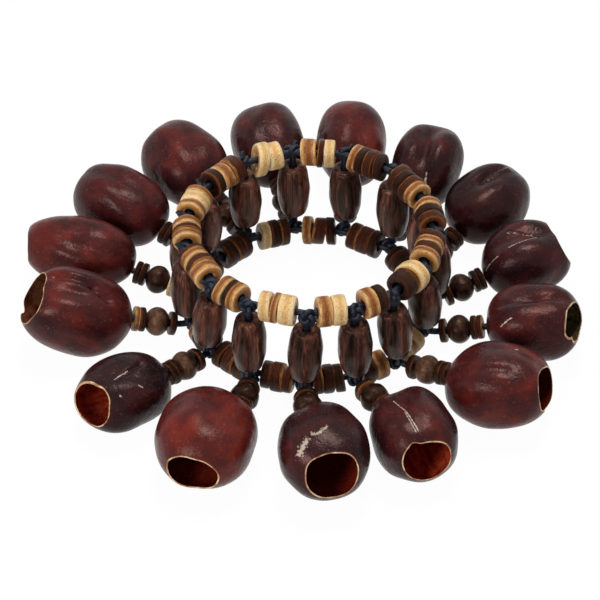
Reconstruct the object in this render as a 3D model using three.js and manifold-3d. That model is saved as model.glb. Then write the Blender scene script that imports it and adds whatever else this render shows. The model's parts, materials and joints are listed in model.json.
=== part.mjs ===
// Seed shaker bracelet: two rings of cord strung with coconut discs are held apart by upright wooden
// barrels, and at the foot of every barrel a hollow seed husk hangs on a short tail of beads.
// Millimetres, +Z up. The origin is the middle of the wrist opening, on the table it lies on.
import * as THREE from 'three';
import { ParametricGeometry } from 'three/addons/geometries/ParametricGeometry.js';
import { mergeVertices } from 'three/addons/utils/BufferGeometryUtils.js';
import Module from 'manifold-3d';

// The two rings of cord
const TOP_RING_X = 32.5;
const TOP_RING_Y = 31.5;
const TOP_RING_HEIGHT = 30.5;
const FOOT_RING_X = 31;
const FOOT_RING_Y = 29.5;
const CORD_R = 0.9;
const KNOT_R = 2.1;

// Coconut discs: a plain one is 8 mm across, and a wide one sits loose on the cord
const DISC_R = 4.0;
const WIDE_DISC_R = 4.4;
const THIN_DISC = 1.2;
const PLAIN_DISC = 2.1;
const THICK_DISC = 3.0;
const DISC_GAP = 0.3;

// Barrel beads, whose feet stand a little outside the lower ring
const BARREL_R = 4.5;
const BARREL_END_R = 3.2;
const BARREL_OUTSIDE = 2.5;

// Tails: a disc, a round bead and another disc on the way to the husk
const TAIL_DISC_R = 3.3;
const TAIL_INNER_DISC = 1.8;
const TAIL_OUTER_DISC = 2.6;
const TAIL_BEAD_R = 3.6;
const TAIL_STEEPEST = THREE.MathUtils.degToRad(34);
const STOPPER_R = 1.9;

// Seed husks
const HUSK_WALL = 1.2;
const HUSK_FULLNESS = 2.3;
const STEM_HOLE_R = 1.3;
const GROOVE_WIDTH = 0.3;

// Clearances
const SEAT_GAP = 0.35;
const STOPPER_GAP = 0.6;

// Facets
const CORD_SIDES = 5;
const DISC_SIDES = 7;
const BARREL_SIDES = 8;
const BARREL_STEPS = 4;
const TAIL_SIDES = 7;
const BEAD_STEPS = 4;
const STOPPER_STEPS = 2;
const HUSK_SIDES = 12;
const HUSK_OUTER_ROWS = 5;
const HUSK_INNER_ROWS = 3;
const HALVINGS = 30;

// One row for each station, counted from the front left and on round to the right. The foot and top angles
// place the barrel's two ends on the rings, and tail is the heading of the tail, all in degrees. Of the husk,
// length runs from the stem to the lip, side is how far its middle lies beside its cord, turn and rise point
// it away from its tail, lip is where the mouth is cut between the middle (0) and the end (1), mouth_turn and
// mouth_rise point the mouth, and groove is the depth of the crease along its back, at the angle crease.
const STATIONS = [
  { foot: -144, top: -139, tail: -135, length: 24, width: 20.5, height: 17.5, side: -1, turn: -6, rise: -4,
    lip: 0.85, mouth_turn: -6, mouth_rise: 10, groove: 1.4, crease: 80 },
  { foot: -118, top: -118, tail: -102, length: 27, width: 25.5, height: 21.5, side: -5, turn: 4, rise: -8,
    lip: 0.86, mouth_turn: -6, mouth_rise: -6, groove: 0.5, crease: 60 },
  { foot: -93, top: -91, tail: -84, length: 26.5, width: 23, height: 21.5, side: 1.5, turn: 4, rise: 0,
    lip: 0.86, mouth_turn: 0, mouth_rise: 4, groove: 0.6, crease: 120 },
  { foot: -69, top: -70, tail: -59, length: 25, width: 21.5, height: 20.5, side: -1, turn: -14, rise: -4,
    lip: 0.86, mouth_turn: -4, mouth_rise: 4, groove: 0.8, crease: 100 },
  { foot: -46, top: -51, tail: -31, length: 26.5, width: 22.5, height: 21, side: 0, turn: 18, rise: -6,
    lip: 0.88, mouth_turn: -6, mouth_rise: 8, groove: 0.8, crease: 70 },
  { foot: -21, top: -28, tail: -6, length: 24.5, width: 20.5, height: 20, side: 0, turn: 0, rise: -4,
    lip: 0.86, mouth_turn: -16, mouth_rise: 12, groove: 0.8, crease: 90 },
  { foot: 1, top: -2, tail: 21, length: 22.5, width: 20, height: 19.5, side: 0, turn: -8, rise: -6,
    lip: 0.88, mouth_turn: 6, mouth_rise: -4, groove: 1.5, crease: 85 },
  { foot: 23, top: 20, tail: 46, length: 24.5, width: 20.5, height: 19.5, side: 0, turn: -6, rise: -6,
    lip: 0.87, mouth_turn: 6, mouth_rise: 0, groove: 1.2, crease: 80 },
  { foot: 46, top: 47, tail: 67, length: 24.5, width: 19.5, height: 20.5, side: 0, turn: 0, rise: -4,
    lip: 0.87, mouth_turn: -6, mouth_rise: 4, groove: 2.0, crease: 90 },
  { foot: 72, top: 73, tail: 85, length: 25, width: 20, height: 21, side: 0, turn: 4, rise: -4,
    lip: 0.86, mouth_turn: 6, mouth_rise: 2, groove: 0.6, crease: 110 },
  { foot: 97, top: 98, tail: 105, length: 24, width: 21, height: 20.5, side: 0, turn: 0, rise: -6,
    lip: 0.86, mouth_turn: -8, mouth_rise: 0, groove: 0.8, crease: 70 },
  { foot: 121, top: 123, tail: 129, length: 25.5, width: 22, height: 21.5, side: 0, turn: 0, rise: -4,
    lip: 0.87, mouth_turn: 8, mouth_rise: 4, groove: 0.5, crease: 100 },
  { foot: 146, top: 150, tail: 149, length: 26, width: 20, height: 20.5, side: 0, turn: 4, rise: -6,
    lip: 0.87, mouth_turn: -6, mouth_rise: 0, groove: 0.7, crease: 90 },
  { foot: 171, top: 173, tail: 163.5, length: 30, width: 18.5, height: 19, side: 0, turn: 6, rise: -6,
    lip: 0.88, mouth_turn: 6, mouth_rise: -4, groove: 0.9, crease: 60 },
  { foot: 195, top: 194, tail: 187, length: 27.5, width: 22, height: 22.5, side: 0, turn: -4, rise: 0,
    lip: 0.85, mouth_turn: 2, mouth_rise: 18, groove: 1.9, crease: 75 },
];

// The discs between each station and the next, in order along the cord
const TOP_STACKS = [
  'thick thin plain', 'thick thin thick', 'plain thick', 'plain plain plain', 'thick wide',
  'plain plain plain thin', 'plain plain thick', 'thin plain plain plain', 'thin plain plain plain',
  'plain thin thick', 'wide thick', 'thick plain plain', 'plain thick plain', 'plain thin plain thin',
  'thin plain plain thick',
];
const FOOT_STACKS = [
  'plain thin plain', 'plain plain', 'thin plain thin', 'plain plain', 'thin thin plain',
  'plain plain', 'plain thin', 'thin plain thin', 'plain plain', 'thin plain plain',
  'plain thin thin', 'plain plain', 'thin plain thin', 'plain plain', 'thin plain plain thin',
];
const DISC_KINDS = {
  thin: { thickness: THIN_DISC, radius: DISC_R },
  plain: { thickness: PLAIN_DISC, radius: DISC_R },
  thick: { thickness: THICK_DISC, radius: DISC_R },
  wide: { thickness: PLAIN_DISC, radius: WIDE_DISC_R },
};

const darkWood = new THREE.MeshStandardMaterial({ color: '#3b2017', roughness: 0.6, metalness: 0 });
const coconut = new THREE.MeshStandardMaterial({ color: '#8a5a34', roughness: 0.6, metalness: 0 });
const seedCase = new THREE.MeshStandardMaterial({ color: '#54211c', roughness: 0.35, metalness: 0 });

const wasm = await Module();
wasm.setup();

// A closed solid for joining and cutting, without the triangles that shrink to nothing at a pole
function solid(geometry) {
  geometry.deleteAttribute('normal');
  geometry.deleteAttribute('uv');
  const merged = mergeVertices(geometry, 1e-4);
  const corners = merged.index.array;
  const triVerts = [];
  for (let i = 0; i < corners.length; i += 3) {
    const [a, b, c] = corners.slice(i, i + 3);
    if (a !== b && b !== c && c !== a) triVerts.push(a, b, c);
  }
  const vertProperties = new Float32Array(merged.attributes.position.array);
  const mesh = new wasm.Mesh({ numProp: 3, vertProperties, triVerts: new Uint32Array(triVerts) });
  return new wasm.Manifold(mesh);
}

function piece(name, body, material) {
  const { vertProperties, triVerts } = body.getMesh();
  const geometry = new THREE.BufferGeometry();
  geometry.setAttribute('position', new THREE.BufferAttribute(vertProperties, 3));
  geometry.setIndex(new THREE.BufferAttribute(triVerts, 1));
  geometry.computeVertexNormals();
  const mesh = new THREE.Mesh(geometry, material);
  mesh.name = name;
  return mesh;
}

function numbered(name, index) {
  return `${name}_${String(index + 1).padStart(2, '0')}`;
}

function ringPoint(halfX, halfY, height, degrees) {
  const angle = THREE.MathUtils.degToRad(degrees);
  return new THREE.Vector3(halfX * Math.cos(angle), halfY * Math.sin(angle), height);
}

// Stands a revolved solid, made along +Y from 0, on a point and lays it along a direction
function along(geometry, from, direction) {
  const turn = new THREE.Quaternion().setFromUnitVectors(new THREE.Vector3(0, 1, 0), direction);
  return geometry.applyQuaternion(turn).translate(from.x, from.y, from.z);
}

// Outline of a disc, which leaves a narrow groove down to the cord behind it, and of a ball on the cord
function discOutline(from, thickness, radius) {
  return [[CORD_R, from], [radius, from], [radius, from + thickness]];
}

function ballOutline(middle, radius, steps) {
  const open = Math.asin(CORD_R / radius);
  return Array.from({ length: steps + 1 }, (unused, step) => {
    const angle = open + (Math.PI - 2 * open) * step / steps;
    return [radius * Math.sin(angle), middle - radius * Math.cos(angle)];
  });
}

function revolved(outline, sides) {
  return new THREE.LatheGeometry(outline.map(([radius, y]) => new THREE.Vector2(radius, y)), sides);
}

// A cord with what is threaded on it, turned as one outline from the axis back to the axis
function strungCord(length, outlines, sides) {
  return revolved([[0, 0], [CORD_R, 0], ...outlines.flat(), [CORD_R, length], [0, length]], sides);
}

// As many discs of a stack as the room between two knots holds, with the slack shared at its two ends
function stackOutlines(stack, length, margin) {
  const discs = stack.split(' ').map((kind) => DISC_KINDS[kind]);
  const span = () => discs.reduce((sum, disc) => sum + disc.thickness + DISC_GAP, -DISC_GAP);
  while (span() > length - 2 * margin) discs.pop();
  let from = (length - span()) / 2;
  const outlines = discs.map((disc) => {
    const outline = discOutline(from, disc.thickness, disc.radius);
    from += disc.thickness + DISC_GAP;
    return outline;
  });
  return [...outlines, [[CORD_R, from]]];
}

function beadedRing(points, stacks, margin) {
  return points.map((point, index) => {
    const next = points[(index + 1) % points.length];
    const length = point.distanceTo(next);
    const outlines = stackOutlines(stacks[index], length, margin);
    const direction = next.clone().sub(point).normalize();
    return solid(along(strungCord(length, outlines, DISC_SIDES), point, direction));
  });
}

function knot(point) {
  return solid(new THREE.IcosahedronGeometry(KNOT_R).translate(point.x, point.y, point.z));
}

function bareCord(from, to) {
  const direction = to.clone().sub(from).normalize();
  return solid(along(strungCord(from.distanceTo(to), [], CORD_SIDES), from, direction));
}

function joined(bodies) {
  return bodies.reduce((sum, body) => sum.add(body));
}

// The barrel swells from its cut ends to its middle along a half sine
function barrelRadius(height, length) {
  const swell = Math.max(0, Math.sin(Math.PI * height / length)) ** 0.7;
  return BARREL_END_R + (BARREL_R - BARREL_END_R) * swell;
}

function barrelSolid(length) {
  const bore = CORD_R + SEAT_GAP;
  const outline = [[bore, 0]];
  for (let step = 0; step <= BARREL_STEPS; step += 1) {
    const height = length * step / BARREL_STEPS;
    outline.push([barrelRadius(height, length), height]);
  }
  outline.push([bore, length], [bore, 0]);
  return revolved(outline, BARREL_SIDES);
}

// Distance from the middle of a husk to its skin: a full oval, less the crease along its back
function huskReach(husk, direction) {
  const halfLength = husk.length / (1 + husk.lip);
  const oval = Math.abs(direction.x / halfLength) ** HUSK_FULLNESS
    + Math.abs(direction.y / (husk.width / 2)) ** HUSK_FULLNESS
    + Math.abs(direction.z / (husk.height / 2)) ** HUSK_FULLNESS;
  const crease = THREE.MathUtils.degToRad(husk.crease);
  const facing = Math.max(0, direction.y * Math.cos(crease) + direction.z * Math.sin(crease));
  const across = direction.z * Math.cos(crease) - direction.y * Math.sin(crease);
  return oval ** (-1 / HUSK_FULLNESS) - husk.groove * facing * Math.exp(-((across / GROOVE_WIDTH) ** 2));
}

function pointing(turn, rise) {
  const euler = new THREE.Euler(0, -THREE.MathUtils.degToRad(rise), THREE.MathUtils.degToRad(turn), 'ZYX');
  return new THREE.Quaternion().setFromEuler(euler);
}

// The husk is worked out round the direction of its mouth, from the back to the lip on the outside and from
// the lip to the back on the inside. The lip lies in one plane, where the end of the seed was sawn off.
function huskShell(husk) {
  const mouth = pointing(husk.mouth_turn, husk.mouth_rise);
  const lipDistance = husk.lip * huskReach(husk, new THREE.Vector3(1, 0, 0).applyQuaternion(mouth));
  const direction = new THREE.Vector3();
  const look = (open, round) => {
    direction.set(Math.cos(open), Math.sin(open) * Math.cos(round), Math.sin(open) * Math.sin(round));
    return direction.applyQuaternion(mouth);
  };
  const lipAngle = (round, inset) => {
    let low = 0;
    let high = Math.PI / 2;
    for (let halving = 0; halving < HALVINGS; halving += 1) {
      const middle = (low + high) / 2;
      const beyond = (huskReach(husk, look(middle, round)) - inset) * Math.cos(middle) > lipDistance;
      if (beyond) low = middle;
      else high = middle;
    }
    return low;
  };
  const rows = HUSK_OUTER_ROWS + 1 + HUSK_INNER_ROWS;
  const skin = (u, v, target) => {
    const row = Math.round(v * rows);
    const round = 2 * Math.PI * u;
    const outside = row <= HUSK_OUTER_ROWS;
    const share = outside ? row / HUSK_OUTER_ROWS : (rows - row) / HUSK_INNER_ROWS;
    const inset = outside ? 0 : HUSK_WALL;
    const open = Math.PI - (Math.PI - lipAngle(round, inset)) * share;
    target.copy(look(open, round)).multiplyScalar(huskReach(husk, direction) - inset);
  };
  return new ParametricGeometry(skin, HUSK_SIDES, rows).applyQuaternion(pointing(husk.turn, husk.rise));
}

// How far the husk's skin stands back towards the tail, within a distance from the line of the cord
function huskBack(husk, edge) {
  const untwist = pointing(husk.turn, husk.rise).invert();
  let furthest = 0;
  for (let open = 0; open < Math.PI / 3; open += Math.PI / 90) {
    for (let round = 0; round < 2 * Math.PI; round += Math.PI / 12) {
      const spread = Math.sin(open);
      const ray = new THREE.Vector3(-Math.cos(open), spread * Math.cos(round), spread * Math.sin(round));
      const skin = ray.clone().multiplyScalar(huskReach(husk, ray.clone().applyQuaternion(untwist)));
      if (Math.hypot(skin.y + husk.side, skin.z) <= edge) furthest = Math.max(furthest, -skin.x);
    }
  }
  return furthest;
}

// Where the inner wall behind the stem hole ends, seen from inside by looking back along the cord
function innerWall(shell, middle) {
  const walls = new THREE.Mesh(shell, new THREE.MeshBasicMaterial({ side: THREE.DoubleSide }));
  const backwards = new THREE.Vector3(-1, 0, 0);
  const eye = new THREE.Raycaster();
  let furthest = -Infinity;
  for (let side = 0; side < HUSK_SIDES; side += 1) {
    const round = 2 * Math.PI * side / HUSK_SIDES;
    eye.set(new THREE.Vector3(middle, STOPPER_R * Math.cos(round), STOPPER_R * Math.sin(round)), backwards);
    const [hit] = eye.intersectObject(walls);
    furthest = Math.max(furthest, hit.point.x);
  }
  return furthest;
}

// The lower ring lies on the table. The barrels stand outside it, above the reach of the tails' discs.
const footHeight = DISC_R;
const footPoints = STATIONS.map(({ foot }) => ringPoint(FOOT_RING_X, FOOT_RING_Y, footHeight, foot));
const topPoints = STATIONS.map(({ top }) => ringPoint(TOP_RING_X, TOP_RING_Y, TOP_RING_HEIGHT, top));
const barrelLift = Math.max(DISC_R, Math.hypot(TAIL_DISC_R, CORD_R + TAIL_INNER_DISC)) + SEAT_GAP;
const uprights = topPoints.map((point, index) => {
  const { foot: degrees } = STATIONS[index];
  const foot = footPoints[index].clone().add(ringPoint(BARREL_OUTSIDE, BARREL_OUTSIDE, 0, degrees));
  const axis = point.clone().sub(foot).normalize();
  const tilt = BARREL_END_R * Math.sin(Math.acos(axis.z));
  const bottom = (barrelLift + tilt) / axis.z;
  const top = foot.distanceTo(point) - (WIDE_DISC_R + SEAT_GAP + tilt) / axis.z;
  const cordEnd = (CORD_R + SEAT_GAP) / axis.z;
  return { foot, point, axis, bottom, cordEnd, length: top - bottom };
});

// At its steepest a tail clears the barrel's cord with its first disc and the barrel's foot with its bead
const discMargin = KNOT_R + SEAT_GAP;
const innerDisc = CORD_R;
const beadMiddle = innerDisc + TAIL_INNER_DISC + TAIL_BEAD_R;
const outerDisc = beadMiddle + TAIL_BEAD_R;
const lastDiscEnd = outerDisc + TAIL_OUTER_DISC;
const discClear = BARREL_OUTSIDE + CORD_R + SEAT_GAP
  + TAIL_DISC_R * Math.sin(TAIL_STEEPEST) - innerDisc * Math.cos(TAIL_STEEPEST);
const beadDrop = barrelLift - beadMiddle * Math.sin(TAIL_STEEPEST);
const beadClear = BARREL_OUTSIDE + BARREL_END_R - beadMiddle * Math.cos(TAIL_STEEPEST)
  + Math.sqrt(Math.max(0, (TAIL_BEAD_R + 2 * SEAT_GAP) ** 2 - beadDrop ** 2));
const tailStart = Math.max(discClear, beadClear);

const bracelet = new THREE.Group();

const dropCords = uprights.map(({ foot, point, axis, cordEnd }) => (
  bareCord(point, foot.clone().addScaledVector(axis, cordEnd))));
const topRing = beadedRing(topPoints, TOP_STACKS, discMargin);
bracelet.add(piece('upper_string', joined([...topRing, ...topPoints.map(knot), ...dropCords]), coconut));

const headings = STATIONS.map(({ tail }) => ringPoint(1, 1, 0, tail));
const tailPoints = footPoints.map((foot, index) => foot.clone().addScaledVector(headings[index], tailStart));
const cordEnds = tailPoints.map((point, index) => (
  bareCord(footPoints[index], point.clone().addScaledVector(headings[index], -CORD_R - SEAT_GAP))));
const footRing = beadedRing(footPoints, FOOT_STACKS, discMargin);
bracelet.add(piece('lower_string', joined([...footRing, ...footPoints.map(knot), ...cordEnds]), coconut));

uprights.forEach(({ foot, axis, bottom, length }, index) => {
  const barrel = along(barrelSolid(length), foot.clone().addScaledVector(axis, bottom), axis);
  bracelet.add(piece(numbered('barrel_bead', index), solid(barrel), darkWood));
});

// Along a tail the bend of the cord is at 0
const xAxis = new THREE.Vector3(1, 0, 0);
const stringStart = new THREE.Vector3(0, 0, 0);

STATIONS.forEach((husk, index) => {
  const middle = lastDiscEnd + SEAT_GAP + huskBack(husk, TAIL_DISC_R);
  const shell = huskShell(husk).translate(middle, husk.side, 0);
  const stopper = innerWall(shell, middle) + STOPPER_GAP + STOPPER_R;
  const outline = [
    [0, -CORD_R],
    [CORD_R, 0],
    ...discOutline(innerDisc, TAIL_INNER_DISC, TAIL_DISC_R),
    ...ballOutline(beadMiddle, TAIL_BEAD_R, BEAD_STEPS),
    [TAIL_DISC_R, outerDisc],
    [TAIL_DISC_R, lastDiscEnd],
    [CORD_R, lastDiscEnd],
    ...ballOutline(stopper, STOPPER_R, STOPPER_STEPS),
    [0, stopper + STOPPER_R],
  ];
  const string = along(revolved(outline, TAIL_SIDES), stringStart, xAxis);
  const drill = revolved([[0, 0], [STEM_HOLE_R, 0], [STEM_HOLE_R, middle], [0, middle]], TAIL_SIDES);
  const stemHole = along(drill, stringStart, xAxis);
  const skinPoints = shell.attributes.position;

  // The husk lies on the table, so its tail rises until the lowest point of the skin is at zero
  const lowest = (pitch) => {
    let height = Infinity;
    for (let i = 0; i < skinPoints.count; i += 1) {
      height = Math.min(height, skinPoints.getX(i) * Math.sin(pitch) + skinPoints.getZ(i) * Math.cos(pitch));
    }
    return footHeight + height;
  };
  let low = -Math.PI / 4;
  let high = Math.PI / 4;
  for (let halving = 0; halving < HALVINGS; halving += 1) {
    const pitch = (low + high) / 2;
    if (lowest(pitch) < 0) low = pitch;
    else high = pitch;
  }

  const tail = new THREE.Group();
  tail.name = numbered('tail', index);
  tail.position.copy(tailPoints[index]);
  tail.rotation.set(0, -high, THREE.MathUtils.degToRad(husk.tail), 'ZYX');
  tail.add(piece(numbered('tail_beads', index), solid(string), darkWood));
  tail.add(piece(numbered('seed_husk', index), solid(shell).subtract(solid(stemHole)), seedCase));
  bracelet.add(tail);
});

export default bracelet;
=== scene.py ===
"""Seed shaker bracelet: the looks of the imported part, in metres and in the part's own frame."""
import json
import math

import bmesh
import bpy
import numpy as np
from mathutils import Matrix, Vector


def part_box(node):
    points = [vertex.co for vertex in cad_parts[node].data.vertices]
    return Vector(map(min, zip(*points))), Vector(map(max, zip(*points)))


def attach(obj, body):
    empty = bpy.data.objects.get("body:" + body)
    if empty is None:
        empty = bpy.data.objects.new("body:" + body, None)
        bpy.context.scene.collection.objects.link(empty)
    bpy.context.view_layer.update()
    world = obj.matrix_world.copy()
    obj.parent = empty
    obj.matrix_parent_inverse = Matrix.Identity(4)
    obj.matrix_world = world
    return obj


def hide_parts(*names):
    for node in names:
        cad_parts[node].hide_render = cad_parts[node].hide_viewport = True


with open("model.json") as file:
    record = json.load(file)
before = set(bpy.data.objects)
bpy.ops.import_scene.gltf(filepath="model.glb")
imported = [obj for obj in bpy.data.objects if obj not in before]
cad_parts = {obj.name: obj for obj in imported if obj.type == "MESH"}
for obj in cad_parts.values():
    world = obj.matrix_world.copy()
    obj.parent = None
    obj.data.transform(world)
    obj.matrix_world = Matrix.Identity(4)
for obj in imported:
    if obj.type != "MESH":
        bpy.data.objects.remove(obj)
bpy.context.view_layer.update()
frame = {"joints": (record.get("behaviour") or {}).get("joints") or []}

# The view
# The bracelet lies flat and is seen from the front, from well above, through a long lens that keeps its
# near and far husks almost the same size.
MM = 0.001
VIEW_HEIGHT = math.radians(44)
VIEW_DISTANCE = 600 * MM
VIEW_WIDTH = 159 * MM
SENSOR_WIDTH = 36.0
aim = np.array([-2.5, -5.3, 10.0]) * MM

camera_data = bpy.data.cameras.new("camera")
camera_data.sensor_width = SENSOR_WIDTH
camera_data.lens = SENSOR_WIDTH * VIEW_DISTANCE / VIEW_WIDTH
camera = bpy.data.objects.new("camera", camera_data)
bpy.context.scene.collection.objects.link(camera)
towards_camera = np.array([0.0, -math.cos(VIEW_HEIGHT), math.sin(VIEW_HEIGHT)])
camera.location = aim + VIEW_DISTANCE * towards_camera
camera.rotation_euler = (math.pi / 2 - VIEW_HEIGHT, 0.0, 0.0)
bpy.context.scene.camera = camera
bpy.context.scene.view_settings.view_transform = "Standard"


# The studio
# A sheet of white paper under two soft boxes, one above and a little behind and one in front on the left,
# in an even white surround. The boxes are small enough to leave clear highlights on waxed wood and seed skin.
def linear(hex_code):
    """The linear colour of an sRGB hex value."""
    srgb = np.array([int(hex_code[i:i + 2], 16) for i in (1, 3, 5)]) / 255
    return (*np.where(srgb <= 0.04045, srgb / 12.92, ((srgb + 0.055) / 1.055) ** 2.4), 1.0)


def add(tree, kind, inputs=None, output=0, stops=(), **settings):
    """Adds a node with its properties, its evenly spread colour stops and its inputs, which are values, hex
    colours or links, and gives one of its outputs."""
    node = tree.nodes.new(kind)
    for name, value in settings.items():
        setattr(node, name, value)
    for key, value in (inputs or {}).items():
        if isinstance(value, bpy.types.NodeSocket):
            tree.links.new(value, node.inputs[key])
        else:
            node.inputs[key].default_value = linear(value) if isinstance(value, str) else value
    for number, stop in enumerate(stops):
        if 0 < number < len(stops) - 1:
            node.color_ramp.elements.new(number / (len(stops) - 1))
        node.color_ramp.elements[number].color = linear(stop)
    return node.outputs[output] if node.outputs else None


def blank(name):
    """A new material and its tree, still empty."""
    material = bpy.data.materials.new(name)
    material.use_nodes = True
    material.node_tree.nodes.clear()
    return material, material.node_tree


def soft_box(name, place, size, power):
    """A square lamp that faces the bracelet."""
    light = bpy.data.lights.new(name, "AREA")
    light.size = size
    light.energy = power
    lamp = bpy.data.objects.new(name, light)
    lamp.location = place
    lamp.rotation_euler = (-lamp.location).to_track_quat("-Z", "Y").to_euler()
    bpy.context.scene.collection.objects.link(lamp)


def seen_directly(tree):
    """One for rays from the camera, and for the mirrored and refracted ones that show the same surround."""
    seen = add(tree, "ShaderNodeLightPath", output="Is Camera Ray")
    mirrored = add(tree, "ShaderNodeLightPath", output="Is Glossy Ray")
    refracted = add(tree, "ShaderNodeLightPath", output="Is Transmission Ray")
    either = add(tree, "ShaderNodeMath", {0: seen, 1: mirrored}, operation="MAXIMUM")
    return add(tree, "ShaderNodeMath", {0: either, 1: refracted}, operation="MAXIMUM")


soft_box("top_soft_box", place=(0.05, 0.15, 0.70), size=0.24, power=3.4)
soft_box("front_soft_box", place=(-0.44, -0.55, 0.46), size=0.22, power=3.2)

SURROUND_LIGHT = 0.36
world = bpy.data.worlds.new("surround")
bpy.context.scene.world = world
world.use_nodes = True
tree = world.node_tree
tree.nodes.clear()
surround = add(tree, "ShaderNodeBackground", {"Color": "#f4f5f8", "Strength": SURROUND_LIGHT})
white = add(tree, "ShaderNodeBackground", {"Color": "#ffffff", "Strength": 1.0})
backdrop = add(tree, "ShaderNodeMixShader", {0: seen_directly(tree), 1: surround, 2: white})
add(tree, "ShaderNodeOutputWorld", {"Surface": backdrop})

# White paper: matt, and lit so evenly that it photographs as white with only a breath of shadow
PAPER_GLOW = 0.97
paper, tree = blank("white_paper")
sheet = add(tree, "ShaderNodeBsdfDiffuse", {"Color": "#f7f7f7"})
glow = add(tree, "ShaderNodeEmission", {"Color": "#ffffff", "Strength": 1.0})
glow_share = add(tree, "ShaderNodeMath", {0: seen_directly(tree), 1: PAPER_GLOW}, operation="MULTIPLY")
lit_sheet = add(tree, "ShaderNodeMixShader", {0: glow_share, 1: sheet, 2: glow})
add(tree, "ShaderNodeOutputMaterial", {"Surface": lit_sheet})

FLOOR_HALF = 1.2
FLOOR_DROP = 0.2 * MM
floor_mesh = bpy.data.meshes.new("floor")
floor_turns = ((-1, -1), (1, -1), (1, 1), (-1, 1))
floor_corners = [(x * FLOOR_HALF, y * FLOOR_HALF, -FLOOR_DROP) for x, y in floor_turns]
floor_mesh.from_pydata(floor_corners, [], [(0, 1, 2, 3)])
floor_mesh.materials.append(paper)
floor = bpy.data.objects.new("floor", floor_mesh)
bpy.context.scene.collection.objects.link(floor)


# The cord
# One black waxed braid, knotted at every station, makes both rings. It drops through each barrel and is tied
# to the start of each tail. The braid's strands show as a fine herringbone.
STATIONS = 15
CORD_R = 0.9 * MM
CORD_SIDES = 12
BRAID_PITCH = 1.6 * MM
BRAID_STRANDS = 2
BRAID_RELIEF = 0.11
BRAID_STEP = 0.22 * MM
LEAST_STEPS = 4
RING_STEPS = 40
TOP_HEIGHT = 30.5 * MM
TAIL_START = 4.849 * MM
WELD = 1e-6
STEEP = 0.9
up = np.array([0.0, 0.0, 1.0])
level = np.array([1.0, 1.0, 0.0])

joints = {joint["name"]: joint for joint in frame["joints"]}
numbers = [f"{k:02d}" for k in range(1, STATIONS + 1)]
tail_points = np.array([joints[f"tail_{n}_swing"]["pos_m"] for n in numbers])
tail_ways = np.array([joints[f"husk_{n}_twist"]["axis"] for n in numbers])
barrel_feet = np.array([joints[f"barrel_{n}_spin"]["pos_m"] for n in numbers])
barrel_ways = np.array([joints[f"barrel_{n}_spin"]["axis"] for n in numbers])
headings = tail_ways * level
headings /= np.linalg.norm(headings, axis=1, keepdims=True)
foot_points = tail_points - headings * TAIL_START
top_points = barrel_feet + barrel_ways * ((TOP_HEIGHT - barrel_feet[:, 2:]) / barrel_ways[:, 2:])


def surface(grid, loop=False):
    """Vertices and quads of a grid of points whose columns close round, and its rows too in a loop."""
    rows, columns = grid.shape[:2]
    row = np.arange(rows if loop else rows - 1)[:, None]
    column = np.arange(columns)[None, :]
    here, beyond = row * columns, (row + 1) % rows * columns
    beside = (column + 1) % columns
    corners = (here + column, here + beside, beyond + beside, beyond + column)
    return grid.reshape(-1, 3), np.stack(corners, -1).reshape(-1, 4)


def piece(name, surfaces, materials, body, node=None, attributes=None):
    """One object of several surfaces, each with the number of its material, with welded poles and outward
    faces. An attribute is a list of numbers or of vectors, one for each point."""
    points = np.concatenate([points for (points, quads), material in surfaces])
    starts = np.cumsum([0] + [len(points) for (points, quads), material in surfaces])
    quads = np.concatenate([quads + start for ((_, quads), material), start in zip(surfaces, starts)])
    choice = np.concatenate([np.full(len(quads), material) for (_, quads), material in surfaces])
    mesh = bpy.data.meshes.new(name)
    mesh.from_pydata(points, [], quads)
    mesh.polygons.foreach_set("material_index", choice.astype(np.int32))
    for label, values in (attributes or {}).items():
        values = np.asarray(values, np.float32)
        kind, field = ("FLOAT_VECTOR", "vector") if values.ndim == 2 else ("FLOAT", "value")
        layer = mesh.attributes.new(label, kind, "POINT")
        layer.data.foreach_set(field, values.ravel())
    work = bmesh.new()
    work.from_mesh(mesh)
    bmesh.ops.remove_doubles(work, verts=work.verts, dist=WELD)
    bmesh.ops.recalc_face_normals(work, faces=work.faces)
    work.to_mesh(mesh)
    work.free()
    mesh.polygons.foreach_set("use_smooth", np.ones(len(mesh.polygons), bool))
    for material in materials:
        mesh.materials.append(material)
    made = bpy.data.objects.new(name, mesh)
    bpy.context.scene.collection.objects.link(made)
    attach(made, body)
    if node:
        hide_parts(node)


def crossways(way):
    """Two unit vectors square to a direction, and to each other."""
    way = np.asarray(way) / np.linalg.norm(way)
    reference = up if abs(way[2]) < STEEP else np.array([0.0, 1.0, 0.0])
    first = np.cross(reference, way)
    first /= np.linalg.norm(first)
    return first, np.cross(way, first)


def spokes(way, turn):
    """Unit vectors round a direction, one for each turn."""
    first, second = crossways(way)
    return np.cos(turn)[..., None] * first + np.sin(turn)[..., None] * second


def full_circle(count):
    """Evenly spread turns round a full circle."""
    return np.linspace(0, 2 * np.pi, count, endpoint=False)


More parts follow.
